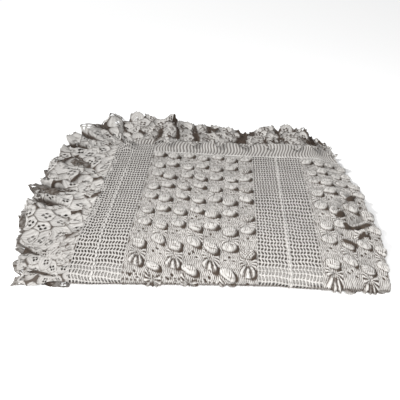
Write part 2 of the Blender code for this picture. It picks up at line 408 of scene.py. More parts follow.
def openwork_piece(name, top, bottom, uv, painted_shade, material, kept):
    """Two skins of a grid joined by a wall round every opening and round the rim, as one closed cloth."""
    rows, columns = top.shape[:2]
    faces = grid_faces(rows, columns)
    under = rows * columns
    walls = []
    framed = np.pad(kept, 1)
    number = np.arange(under).reshape(rows, columns)
    for before, after, start, end in (
            (framed[1:-1, :-1], framed[1:-1, 1:], number[:-1, :], number[1:, :]),
            (framed[1:, 1:-1], framed[:-1, 1:-1], number[:, :-1], number[:, 1:])):
        for side, turn in ((before & ~after, -1), (after & ~before, 1)):
            wall = [start[side], start[side] + under, end[side] + under, end[side]]
            walls.append(np.stack(wall, axis=-1)[:, ::turn])
    everything = np.concatenate([faces[kept], faces[kept][:, ::-1] + under] + walls)
    points = np.concatenate([top.reshape(-1, 3), bottom.reshape(-1, 3)])
    uv = np.concatenate([uv.reshape(-1, 2)] * 2)
    # painted shade on the whole under skin
    painted_shade = np.concatenate([painted_shade.ravel(), np.full(under, 0.85)])
    return finish_piece(name, points, everything, uv, painted_shade, material)


# ---------------------------------------------------------------- yarn

def add_node(tree, kind, values=(), **settings):
    """A new shader node in a tree, with its settings and the values of its inputs by name or number."""
    node = tree.nodes.new("ShaderNode" + kind)
    for setting, value in settings.items():
        setattr(node, setting, value)
    for socket, value in dict(values).items():
        node.inputs[socket].default_value = value
    return node


def yarn_group():
    """Node group: a twisted, slightly uneven cotton strand, as a brightness and a height.

    The brightness holds painted shade in the twist's grooves as well as the cotton's own uneven tone.
    """
    name = "cotton_yarn"
    if name in bpy.data.node_groups:
        return bpy.data.node_groups[name]
    group = bpy.data.node_groups.new(name, "ShaderNodeTree")
    for socket, way, kind in (
            ("Cloth", "INPUT", "Vector"), ("Place", "INPUT", "Vector"), ("Twist", "INPUT", "Float"),
            ("Brightness", "OUTPUT", "Float"), ("Height", "OUTPUT", "Float")):
        group.interface.new_socket(socket, in_out=way, socket_type="NodeSocket" + kind)
    into, out = group.nodes.new("NodeGroupInput"), group.nodes.new("NodeGroupOutput")
    twist = add_node(group, "TexWave", {"Distortion": 3.0, "Detail": 2.0, "Detail Scale": 1.5},
                     bands_direction="DIAGONAL")
    fuzz = add_node(group, "TexNoise", {"Scale": 900.0, "Detail": 3.0})
    mottle = add_node(group, "TexNoise", {"Scale": 26.0, "Detail": 4.0})
    height = add_node(group, "Math", {1: 0.55}, operation="MULTIPLY_ADD")
    # painted shade: the twist's bands darken the grooves between the plies; the mottle is the cotton's own
    # uneven tone
    strand = add_node(group, "MapRange", {"To Min": 0.88, "To Max": 1.0})
    cloud = add_node(group, "MapRange", {"From Min": 0.3, "From Max": 0.7, "To Min": 0.88, "To Max": 1.06})
    both = add_node(group, "Math", operation="MULTIPLY")
    for output, socket in (
            (into.outputs["Cloth"], twist.inputs["Vector"]),
            (into.outputs["Twist"], twist.inputs["Scale"]),
            (into.outputs["Place"], fuzz.inputs["Vector"]),
            (into.outputs["Place"], mottle.inputs["Vector"]),
            (fuzz.outputs["Fac"], height.inputs[0]),
            (twist.outputs["Fac"], height.inputs[2]),
            (height.outputs["Value"], out.inputs["Height"]),
            (twist.outputs["Fac"], strand.inputs["Value"]),
            (mottle.outputs["Fac"], cloud.inputs["Value"]),
            (strand.outputs["Result"], both.inputs[0]),
            (cloud.outputs["Result"], both.inputs[1]),
            (both.outputs["Value"], out.inputs["Brightness"])):
        group.links.new(output, socket)
    return group


def yarn_material(name, colour, twist, bump):
    """Matte cotton: its own colour, darkened where the attribute of painted shade says, with a strand's
    bump.
    """
    if name in bpy.data.materials:
        return bpy.data.materials[name]
    material = bpy.data.materials.new(name)
    material.use_nodes = True
    tree = material.node_tree
    shader = tree.nodes["Principled BSDF"]
    for socket, value in (("Roughness", 0.92), ("Specular IOR Level", 0.25), ("Sheen Weight", 0.06),
                          ("Sheen Roughness", 0.5)):
        shader.inputs[socket].default_value = value
    place = add_node(tree, "TexCoord")
    yarn = add_node(tree, "Group", node_tree=yarn_group())
    yarn.inputs["Twist"].default_value = twist
    shade = add_node(tree, "Attribute", attribute_name="painted_shade")
    tone = add_node(tree, "Mix", data_type="RGBA")
    tone.inputs["A"].default_value = colour
    tone.inputs["B"].default_value = bpy.context.scene.bedspread_yarns.painted_shade
    lit = add_node(tree, "VectorMath", operation="SCALE")
    relief = add_node(tree, "Bump", {"Strength": bump, "Distance": 0.0006})
    for output, socket in (
            (place.outputs["UV"], yarn.inputs["Cloth"]),
            (place.outputs["Object"], yarn.inputs["Place"]),
            (shade.outputs["Fac"], tone.inputs["Factor"]),
            (tone.outputs["Result"], lit.inputs[0]),
            (yarn.outputs["Brightness"], lit.inputs["Scale"]),
            (lit.outputs["Vector"], shader.inputs["Base Color"]),
            (yarn.outputs["Height"], relief.inputs["Height"]),
            (relief.outputs["Normal"], shader.inputs["Normal"])):
        tree.links.new(output, socket)
    return material


def cotton(name="worked_cotton_yarn"):
    """The light cotton of every piece that shows."""
    return yarn_material(name, bpy.context.scene.bedspread_yarns.cotton, 300.0, 0.5)


# ---------------------------------------------------------------- pieces

def cloth_shape():
    """The folded cloth without the outermost layer's show side, which the panels stand for.

    A grid across (outer layer, half circle of the side fold, inner layer) and along (the whole track).
    """
    across_end = FOLD_TURN + HALF * math.pi + FOLD_TURN - LEFT_EDGE
    turn_start, turn_end = FOLD_TURN, FOLD_TURN + HALF * math.pi
    across = np.concatenate([np.linspace(LEFT_EDGE, turn_start, 46)[:-1],
                             np.linspace(turn_start, turn_end, 8)[:-1],
                             np.linspace(turn_end, across_end, 46)])
    along = np.concatenate([np.linspace(0.0, 0.56, 48)[:-1], np.linspace(0.56, 0.66, 30)[:-1],
                            np.linspace(0.66, TRACK[-1], 170)])
    x, s = np.meshgrid(across, along)
    rib = 0.0003 * np.sin(2 * math.pi * s / 0.0056)
    points = on_cloth(x, s, rib * ease((s - 0.62) / 0.02))
    shown = (x < turn_end - 0.004) & (s < PANEL_END - 0.012)
    kept = ~(shown[:-1, :-1] | shown[1:, 1:])
    uv = np.stack([x, s], axis=-1)
    # painted shade on the inner layers, away from the side fold and the free end
    inside_shade = ease((x - turn_end - 0.004) / 0.05) * ease((s - 0.02) / 0.05) * (s < 0.56)
    return points, uv, 0.85 * inside_shade, kept


def folded_cloth():
    """The folded cloth as one skin, thickened to three quarters of the cloth by a modifier."""
    points, uv, painted_shade, kept = cloth_shape()
    # a shaded copy of the cotton: painted shade on the inner layers
    material = yarn_material("shaded_inner_cotton_yarn", bpy.context.scene.bedspread_yarns.inner, 240.0, 0.6)
    piece = skin_piece("folded_cloth", points, uv, painted_shade, material, kept)
    solid = piece.modifiers.new("cloth thickness", "SOLIDIFY")
    solid.thickness = CLOTH * 0.75
    solid.offset = 0.0
    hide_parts("folded_spread")
    return piece


def mesh_band(name, left, right, columns, first_row):
    """Filet mesh: zigzag posts and row bars as round strands, with a real opening in every mesh.

    A point's cell is its column and row. Posts lean one way and the other in turn, so a column's middle
    shifts by a triangle wave of the row. Openings are drawn towards a circle. The lift is the larger of two
    half-round strands, each the square root of one less the squared distance from the strand's middle line.
    A low dome stands at the back left corner, and the lower layers' edges show as lines of painted shade in
    front.
    """
    sizes = bpy.context.scene.bedspread_sizes
    rows = int((PANEL_END - first_row) / sizes.mesh_row)
    column = np.append((np.arange(columns)[:, None] + MESH_LINES).ravel(), columns)
    row = np.append((np.arange(rows)[:, None] + ROW_LINES).ravel(), rows)
    c, r = np.meshgrid(column, row)
    p, q = c - np.floor(c + 1e-9), r - np.floor(r + 1e-9)
    kept = ~((p[:-1, :-1] >= 0.2) & (p[:-1, :-1] < 0.7) & (q[:-1, :-1] >= 0.15) & (q[:-1, :-1] < 0.75))
    post, bar = np.minimum(p, 1 - p) / POST_HALF, np.minimum(q, 1 - q) / BAR_HALF
    side, rise = (p - 0.5) / OPEN_WIDE, (q - 0.5) / OPEN_TALL
    roundness = 0.75 * ease((1.7 - np.maximum(np.abs(side), np.abs(rise))) / 0.7)
    c_round = side * (np.sqrt(1 - 0.5 * np.clip(rise, -1, 1) ** 2) - 1) * OPEN_WIDE * roundness
    r_round = rise * (np.sqrt(1 - 0.5 * np.clip(side, -1, 1) ** 2) - 1) * OPEN_TALL * roundness
    lean = np.where(np.floor(r + 1e-9) % 2 == 0, 1.0, -1.0) * (q - 0.5) * POST_LEAN
    loose = 0.10 * np.sin(0.9 * r + 2.1 * c) * np.sin(0.37 * r - 0.6 * c)
    rim = ease(np.minimum(c, columns - c) / 0.8)
    across = left + (c + c_round + (lean + loose) * rim) * ((right - left) / columns)
    wander = 0.08 * np.sin(0.8 * c + 0.3 * r) * rim
    along = skewed(across, first_row + (r + r_round + wander) * sizes.mesh_row)
    round_post, round_bar = (np.sqrt(np.clip(1 - part ** 2, 0, 1)) for part in (post, bar))
    thick = sizes.strand * (0.10 + 0.90 * np.maximum(round_post, BAR_HEIGHT * round_bar))
    corner_dome = 0.024 * np.exp(-((across + 0.262) / 0.020) ** 2 - ((along - 0.036) / 0.020) ** 2)
    swell = 0.0006 * np.sin(0.31 * r + 0.5 * c) + corner_dome
    top = on_cloth(across, along, pressed(swell + thick, along))
    bottom = on_cloth(across, along, pressed(swell - 0.6 * thick, along))
    # painted shade: darker away from the tops of the posts and bars, down their sides and round the
    # openings
    painted_shade = 1.05 * (1 - np.maximum(round_post, 0.88 * round_bar)) ** 0.9 + 0.05 + painted_edge_shade(along)
    uv = np.stack([across, along], axis=-1)
    return openwork_piece(name, top, bottom, uv, np.clip(painted_shade, 0, 1), cotton(), kept)


def ground(across, row, row_height):
    """Dense trebles: upright ribs, wavering a little, with a groove between the rows; lift and slits of
    painted shade.

    A slit of painted shade stands where two ribs meet, in the middle of a row, and is there or not by
    chance.
    """
    waver = 0.0019 * np.sin(math.pi * row / row_height) + 0.0020 * np.sin(90.0 * row + 40.0 * across)
    phase = 2 * math.pi * (across + waver) / TREBLE
    middle_of_row = np.sin(math.pi * row / row_height)
    groove = 0.0011 * (1 - np.abs(middle_of_row) ** 0.5)
    there = ease((chance(np.floor((across + waver) / TREBLE), np.floor(row / row_height)) - 0.30) / 0.30)
    uneven = 0.0009 * np.sin(310.0 * across + 40.0 * row) * np.sin(350.0 * row - 60.0 * across)
    return 0.00135 * np.cos(phase) - groove + uneven, there * gap(phase) * middle_of_row ** 2


def motif_places(across, row, first_column, first_row):
    """For each point the nearest column of shells, and its place in the repeat from that column's pad.

    Every second column is dropped by half a repeat. Near the front the repeat is an eighth longer.
    """
    sizes = bpy.context.scene.bedspread_sizes
    row = row - 0.125 * np.maximum(row - 0.372, 0.0)
    column = np.round((across - first_column) / sizes.column_pitch)
    a = across - first_column - column * sizes.column_pitch
    drop = np.where(np.mod(column, 2) == 0, 0.0, sizes.shell_repeat / 2)
    repeat = np.floor((row - first_row - drop + 0.30 * sizes.shell_repeat) / sizes.shell_repeat)
    b = row - first_row - drop - repeat * sizes.shell_repeat
    return a, b, column, repeat


def pillow(edge):
    """A plump dome from an edge measure that is 0 in its middle and 1 on its edge."""
    return np.sqrt(np.clip(1 - edge, 0, 1)) ** 0.8


def shell_pad(a, b, pad_b, luck, other, tall):
    """The pad: a tilted superellipse with fan ribs and a bent line pressed in; edge measure, lift, painted
    shade.
    """
    width = PAD_WIDE * (1.0 - 14.0 * (other - 0.3) * pad_b) * (0.90 + 0.22 * luck)
    edge = (np.abs(a / width)) ** 2.2 + (np.abs(pad_b / PAD_DEEP)) ** (2.0 + 0.8 * other)
    fan = np.arctan2(a, 0.036 - pad_b) * 2 * math.pi / 0.150
    bend = pad_b - 0.0045 + 26.0 * a * a * (luck + 0.2)
    bent_line = np.exp(-(bend / 0.0016) ** 2 - ((a - 0.005) / 0.0125) ** 4) * (edge < 0.9) * other
    ribs = 0.0007 * np.cos(fan) * (edge < 0.85) + 0.0012 * np.exp(-((b + 0.006) / 0.0035) ** 2)
    lift = 1.20 * pillow(edge) * tall * (0.90 + 0.30 * a / CUP_WIDE)
    lift = lift + (ribs - 0.0022 * bent_line) * (edge < 1)
    gap_shade = (0.10 + 0.25 * luck) * gap(fan) ** 1.8 * (edge < 0.8)
    return edge, lift, np.maximum(gap_shade, 0.50 * bent_line)


def shell_cup(a, cup_b, luck, leafy, tall):
    """The cup: a pillow with a bent mouth that opens into leaves in front; edge measure, lift, painted
    shade.
    """
    edge = (np.abs(a / (CUP_WIDE * (1.0 + 9.0 * cup_b)))) ** 2.3 + (np.abs(cup_b / CUP_DEEP)) ** 2.3
    mouth = np.exp(-((a - 0.003) / 0.0080) ** 4 - ((cup_b + 0.0040 - 20.0 * a * a) / 0.0020) ** 2)
    leaf_mouth = np.exp(-(a / 0.0055) ** 2 - ((cup_b + 0.0085) / 0.0050) ** 2)
    mouth = np.maximum(0.8 * mouth * luck, leafy * leaf_mouth)
    phase = np.arctan2(a, np.maximum(cup_b + 0.024, 0.002)) * CUP_RIBS
    ribs = (0.0006 + 0.0024 * leafy) * np.cos(phase) * (edge < 0.95)
    lift = pillow(edge) * tall * (0.95 - 0.38 * leafy + 0.28 * a / CUP_WIDE) + ribs - mouth * tall * 0.30
    gap_shade = (0.15 + 0.60 * leafy) * gap(phase) ** 1.6 * (edge < 0.95)
    return edge, lift, np.maximum(gap_shade, 0.9 * mouth)


def shell_lift(across, row, first_column, first_row):
    """Relief of the bow-tie shells: a domed pad, a pinch with rays, a cup, and four holes in a diamond.

    a and b are the distances from the pad's middle, across and along. Rays are cosine ridges of the angle
    about the pinch, to the left and right only. The last centre column's pads are netted. A painted shadow
    rings a pad or cup as a bell round its edge measure, wider and darker at the right, away from the light.
    Each hole is a steep dip. Returns the lift, a mask of painted shadow and shade, and a hole mask.
    """
    sizes = bpy.context.scene.bedspread_sizes
    a, b, column, repeat = motif_places(across, row, first_column, first_row)
    luck, other = chance(column, repeat), chance(repeat + 3, column)
    leafy = ease((row - 0.495) / 0.02)
    a = a + (luck - 0.5) * 0.009
    b = b - (0.16 + 0.50 * (other - 0.5)) * a + (other - 0.5) * 0.007
    pad_b, cup_b, ray_b = b * (1.0 + 0.60 * ease((row - 0.53) / 0.04)), b - CUP_BELOW, b - PINCH_BELOW
    tall = sizes.shell_height * (0.70 + 0.65 * luck)
    pad, lift, pad_gap_shade = shell_pad(a, b, pad_b, luck, other, tall)
    cup, cup_lift, cup_gap_shade = shell_cup(a, cup_b, luck, leafy, tall)
    net = np.cos(2 * math.pi * a / 0.0068) * np.cos(2 * math.pi * b / 0.0062)
    netted = (column == LAST_CENTRE_COLUMN) * (pad < 0.9) * ease((net + 0.05) / 0.35)

    reach = np.hypot(a, ray_b)
    ray_angle = np.arctan2(ray_b, np.abs(a) + 1e-6)
    ray_phase = ray_angle * 2 * math.pi / RAY_TURN
    window = ease((reach - 0.002) / 0.004) * ease((0.0225 + 0.0030 * (a > 0) - reach) / 0.006)
    window = window * ease((0.78 + 0.30 * (a > 0) * (ray_b > 0) - np.abs(ray_angle)) / 0.2)
    window = window * (0.75 + 0.25 * leafy) * (pad > 1) * (cup > 1)
    rays = window * (0.0036 * np.cos(ray_phase) + 0.0022) - 0.0025 * np.exp(-(reach / 0.0035) ** 2)

    right = ease((a / CUP_WIDE - 0.05) / 0.70)
    below = ease(pad_b / 0.0122) * ease((a / CUP_WIDE + 0.5) / 0.8)
    soft = 0.10 + 0.12 * right
    undercut_shadow = np.exp(-((pad ** 0.4 - 1.06) / soft) ** 2) * np.maximum(0.18 + 1.15 * right, 0.65 * below)
    cup_undercut_shadow = np.exp(-((cup ** 0.4 - 1.05) / soft) ** 2) * (0.15 + 1.15 * right) * (cup_b > -0.008)
    # painted shadow under the pads and cups, and painted shade in the gaps of rays, ribs and netting
    shadow = np.maximum.reduce([
        undercut_shadow, cup_undercut_shadow, window * gap(ray_phase) ** 1.5, cup_gap_shade, pad_gap_shade, 0.95 * netted])
    hole = np.zeros_like(a)
    for hole_a, hole_b in ((0.0, -HOLE_STEP), (0.0, HOLE_STEP), (-HOLE_STEP, 0.0), (HOLE_STEP, 0.0)):
        away = np.hypot((a - hole_a) * 0.8, b - DIAMOND_BELOW - hole_b)
        hole = np.maximum(hole, np.exp(-(away / HOLE_RADIUS) ** 4))
    lift = lift + cup_lift + rays - 0.0030 * netted - 0.0050 * hole
    return lift, np.clip(shadow, 0, 1), hole


def shell_panel(name, left, right, first_column, first_row, step):
    """A strip of shells on dense trebles, as one relief over a fine grid, with painted shade in its hollows
    by depth.
    """
    sizes = bpy.context.scene.bedspread_sizes
    across = np.linspace(left, right, int((right - left) / step) + 1)
    row = np.linspace(HEADING_END, PANEL_END, int((PANEL_END - HEADING_END) / step) + 1)
    x, r = np.meshgrid(across, row)
    lift, shadow, hole = shell_lift(x, r, first_column, first_row)
    rim = ease((x - left) / 0.006) * ease((right - x) / 0.006 if right < FOLD_TURN else np.ones_like(x))
    trebles, slit_shade = ground(x, r - HEADING_END, sizes.mesh_row)
    plain = ease((0.0016 - lift) / 0.0012)
    lift = trebles + lift * (0.25 + 0.75 * rim)
    lift = lift * (1 - 0.7 * ease((x - FOLD_TURN - 0.001) / 0.008))
    along = skewed(x, r)
    dent = creased(*np.moveaxis(on_cloth(x, along, 0.0)[..., :2] - SHIFT[:2], -1, 0))
    dashes = np.exp(-((np.mod(r, 0.0115) - 0.0058) / 0.0022) ** 2) * ease((r - 0.572) / 0.004)
    dashes = dashes * ease((np.cos(2 * math.pi * x / 0.0105) + 0.15) / 0.6)
    lift = lift - 0.0016 * dashes
    # painted shade: hollows by depth, the dashes, the shells' shadows and their holes
    painted_shade = hollowness(lift, 2, 0.0013) * 0.85 + 0.8 * dashes + shadow * (0.3 + 0.7 * rim) + 0.95 * hole
    # painted shade in the slits, a little over the plain ground, in the pressed creases and at the lower
    # layers' edges
    painted_shade = painted_shade + (0.85 * slit_shade + 0.06) * plain + 9.0 * np.maximum(dent - 0.05, 0) + painted_edge_shade(along)
    points = on_cloth(x, along, 0.0008 + pressed(lift, along))
    return skin_piece(name, points, np.stack([x, along], axis=-1), np.clip(painted_shade, 0, 1), cotton())


def heading(name):
    """Long trebles side by side: half-round ribs with deep gaps, raised a little at the free end."""
    across = np.linspace(CENTRE_LEFT, FOLD_TURN, 550)
    along = np.linspace(0.0, HEADING_END + 0.002, 40)
    x, s = np.meshgrid(across, along)
    lean = 0.10 * (s - 0.03) + 0.0034 * np.sin(105.0 * s + 11.0 * x) + 0.0022 * np.sin(47.0 * x)
    wave = np.mod((x + lean) / LONG_TREBLE, 1.0)
    rib = np.sqrt(np.clip(1 - ((wave - 0.5) / 0.36) ** 2, 0, 1))
    band = ease(s / 0.004) * ease((HEADING_END - s) / 0.006)
    bar = 0.0016 * np.exp(-((s - HEADING_END + 0.001) / 0.0030) ** 2)
    rise = (0.012 + 0.003 * np.sin(33.0 * x)) * ease((0.045 - s) / 0.045) * ease((x + 0.17) / 0.06)
    lift = 0.0026 * rib * band + bar + rise
    # painted shade in the gaps between the ribs, and a little over the whole band
    painted_shade = (0.62 * (1 - rib) + 0.14) * band
    return skin_piece(name, on_cloth(x, s, lift), np.stack([x, s], axis=-1), painted_shade, cotton())


def seam_ridge(name, across):
    """A raised line of knots over a seam: a tube along the cloth whose radius swells at every stitch."""
    mesh_row = bpy.context.scene.bedspread_sizes.mesh_row
    row = np.linspace(HEADING_END, PANEL_END - 0.03, 430)
    r, turn = np.meshgrid(row, np.linspace(0.0, 2 * math.pi, 9), indexing="ij")
    knot = np.abs(np.sin(math.pi * r / mesh_row))
    radius = 0.0015 + 0.0014 * knot ** 1.5
    middle = across + 0.0012 * np.sin(2 * math.pi * r / (2 * mesh_row)) + 0.0015 * np.sin(14.0 * r)
    x = middle - radius * 1.25 * np.cos(turn)
    along = skewed(x, r)
    points = on_cloth(x, along, pressed(0.0014 + radius * np.sin(turn), along))
    # painted shade under the tube and on one side, and painted light on the tops of the knots
    painted_shade = 0.75 - 0.6 * np.sin(turn) - 0.40 * knot + 0.35 * np.maximum(np.cos(turn), 0)
    return skin_piece(name, points, np.stack([x, along], axis=-1), np.clip(painted_shade, 0.05, 0.95), cotton())


def left_edge_height(y, level):
    """Height of a pass at the left edge, falling with the shoulder when it is the top pass."""
    if level < PASS_LEVELS[3]:
        return np.full_like(y, level)
    share = np.clip((SHOULDER - y) / (SHOULDER - FRONT_NOSE), 0.0, 1.0)
    return level + (FOLD_TOP - level) * share ** 1.5


def edge_path(distance, run):
    """The free edge and its outward direction: up the left side, round the corner, along the back."""
    left_run = run.end - CORNER_RADIUS - run.start
    corner_run = CORNER_RADIUS * math.pi / 2
    turned = np.clip((distance - left_run) / corner_run, 0.0, 1.0) * math.pi / 2 * run.turns
    behind = np.maximum(distance - left_run - corner_run, 0.0) * run.turns
    x = LEFT_EDGE - SEAM_GAP + CORNER_RADIUS * (1.0 - np.cos(turned)) + behind
    y = run.start + np.minimum(distance, left_run) + (CORNER_RADIUS + SEAM_GAP) * np.sin(turned)
    return x, y, -np.cos(turned), np.sin(turned)


def petals(u, v, wide, deep, seed):
    """Overlapping round petals on a jittered half-drop grid; a point takes the highest of the nine nearest.

    A petal is the square root of one less the squared distance from its middle, in its own turned and
    stretched directions, a little higher outwards. Returns the height, how clear it stands of the next
    highest, and the place within the winning petal.
    """
    best, second = np.full(u.shape, -1.0), np.full(u.shape, -1.0)
    best_a, best_b = np.zeros(u.shape), np.zeros(u.shape)
    row = np.floor(v / deep)
    for row_step in (-1, 0, 1):
        rank = row + row_step
        offset = 0.5 * np.mod(rank, 2)
        column = np.floor(u / wide + offset)
        for column_step in (-1, 0, 1):
            number = column + column_step
            luck, other = chance(number, rank, seed), chance(number + 7, rank + 3, seed)
            du = u - (number + 0.5 - offset + 0.55 * (luck - 0.5)) * wide
            dv = v - (rank + 0.5 + 0.55 * (other - 0.5)) * deep
            turn = (chance(number, rank, seed + 5) - 0.5) * 1.5
            a = (du * np.cos(turn) + dv * np.sin(turn)) / (wide * (0.56 + 0.16 * other))
            b = (dv * np.cos(turn) - du * np.sin(turn)) / (deep * (0.66 + 0.26 * luck))
            dome = np.clip(1 - (a * a + b * b) ** 1.5, 0, 1) ** 0.6
            height = dome * (0.45 + 0.75 * other) * (1 + 0.35 * b)
            higher = height > best
            second = np.where(higher, best, np.maximum(second, height))
            best_a, best_b = np.where(higher, a, best_a), np.where(higher, b, best_b)
            best = np.where(higher, height, best)
    return np.maximum(best, 0.0), best - np.maximum(second, 0.0), best_a, best_b


def lace_pattern(u, v, wide, deep, seed):
    """Ribbed petals of lace, each pierced by a diamond of holes: relief, painted shade, hole and petal
    height.
    """
    petal, clear, a, b = petals(u, v, wide, deep, seed)
    angle = np.arctan2(a, b + 1.3)
    ribs = np.cos(angle * 22.0) * (0.65 + 0.35 * np.cos(b * 17.0))
    hole = np.zeros_like(a)
    for hole_a, hole_b in ((0.0, 0.42), (0.0, -0.14), (-0.25, 0.14), (0.25, 0.14)):
        hole = np.maximum(hole, 1.45 - np.hypot(a - hole_a, b - hole_b) / 0.125)
    crease = np.exp(-(clear / 0.075) ** 2) * np.clip(1.5 - petal, 0, 1)
    low = ease((0.45 - petal) / 0.45)
    relief = 0.0120 * petal + 0.0009 * ribs * (petal > 0.1) - 0.0025 * crease
    # painted shade in the creases between petals, on their low parts and between the ribs
    painted_shade = 1.10 * crease + 1.1 * low + 0.18 * (1 - ribs) * (petal > 0.1)
    return relief, np.clip(painted_shade, 0, 1), hole, petal


def gathered(middle, out, first_crest):
    """The gathers' phase and crest height, about -1 to 1: wide rounded folds with narrow, unlike valleys.

    The crest is twice the 0.7th power of the cosine of half the phase, less one, and its phase drifts with
    slow sines along the edge and outwards. A ripple of two smaller waves grows to the rim.
    """
    drift = 1.5 * np.sin(2 * math.pi * middle / WAVE_DRIFT)
    phase = 2 * math.pi * middle / WAVE_LENGTH + drift + first_crest
    aslant = 5.0 * ease((0.62 - middle) / 0.1)
    phase = phase + out * (1.8 * np.sin(19.0 * middle + first_crest) - aslant)
    crest = 2.0 * np.abs(np.cos(phase / 2)) ** 0.7 - 1.0
    uneven = 1.0 + 0.35 * np.sin(11.3 * middle + first_crest)
    uneven = uneven + 0.30 * np.sin(37.0 * middle + 2.0 * first_crest)
    ripple = 0.25 * np.sin(1.7 * phase + 1.0) + 0.12 * np.sin(3.3 * phase + first_crest)
    return phase, crest * uneven + ripple * out ** 1.5


def border_samples(run, wrap):
    """Samples along a border's edge: the true distance, and the distance with the corner spread out."""
    left_run = run.end - CORNER_RADIUS - run.start
    quarter, straight = CORNER_RADIUS * math.pi / 2, RIGHT_FOLD - END_INSET - LEFT_EDGE
    finely = np.linspace(-wrap, left_run + (quarter + straight) * run.turns, 2000)
    in_corner = (np.abs(finely - left_run - quarter / 2) < quarter / 2) * run.turns
    spread = np.concatenate([[0.0], np.cumsum((1.0 + FAN * in_corner[1:]) * np.diff(finely))]) - wrap
    fanned = np.linspace(-wrap, spread[-1], run.along_steps)
    return np.interp(fanned, spread, finely)[:, None], fanned[:, None]


def border_sheet(run, distance, place, middle, out, behind, reach):
    """The gathered sheet before its petals, and its crests.

    The height is the edge's, eased to the rim's, plus the crest times the wave. The upper border first
    follows the front fold for a quarter turn. Both top layers lap over the cloth at the left, and the tier
    droops over the heading behind.
    """
    stations = np.array([row[1:] for row in TOP_BORDER])
    rim, wave = (np.interp(place, stations[:, 0], stations[:, column]) for column in (2, 3))
    fold = np.clip(-distance / FOLD_WRAP, 0.0, 1.0) * math.pi / 2
    rim = rim * (run.rim + (1.0 - run.rim) * behind) - run.rim_drop * behind
    rim = rim * (0.25 + 0.75 * np.cos(fold))
    phase, crest = gathered(middle, out, run.first_crest)
    lift = crest * (wave * run.wave) * ease(out * 1.2 + 0.05)
    over = (run.level == 3) * (1 - behind) * ease((place - 0.06) / 0.1)
    droop = (run.name == "tier") * behind * ease((place - 0.66) / 0.06)
    overlap = 0.015 * (0.5 + 0.5 * np.sin(61.0 * middle + run.first_crest)) * over * (1 - out) ** 5
    overlap = overlap + 0.034 * (0.5 + 0.5 * np.sin(73.0 * middle + 1.0)) * droop * (1 - out) ** 4
    share = run.reach_left + (run.reach_behind - run.reach_left) * behind
    far = reach * share * out * (0.95 + 0.04 * crest * out) - overlap
    x, y, outward_x, outward_y = edge_path(np.maximum(distance, 0.0), run)
    inner = left_edge_height(y, PASS_LEVELS[run.level]) - NOSE_RADIUS * (1 - np.cos(fold))
    y = y - NOSE_RADIUS * np.sin(fold)
    climb = ease(out) * (1 - behind) + out ** 0.75 * behind
    z = inner + (rim - inner) * climb + lift + 0.0095 * over * (1 - ease(out / 0.14))
    z = z + 0.024 * droop * (1 - ease(out / 0.40))
    swell = 0.0070 * np.sin(phase) * ease(out * 1.4) - 0.25 * lift * ease(out * 1.3)
    x = x + outward_x * far + outward_y * swell
    y = y + outward_y * far - outward_x * swell
    return settle(x, y, z), crest


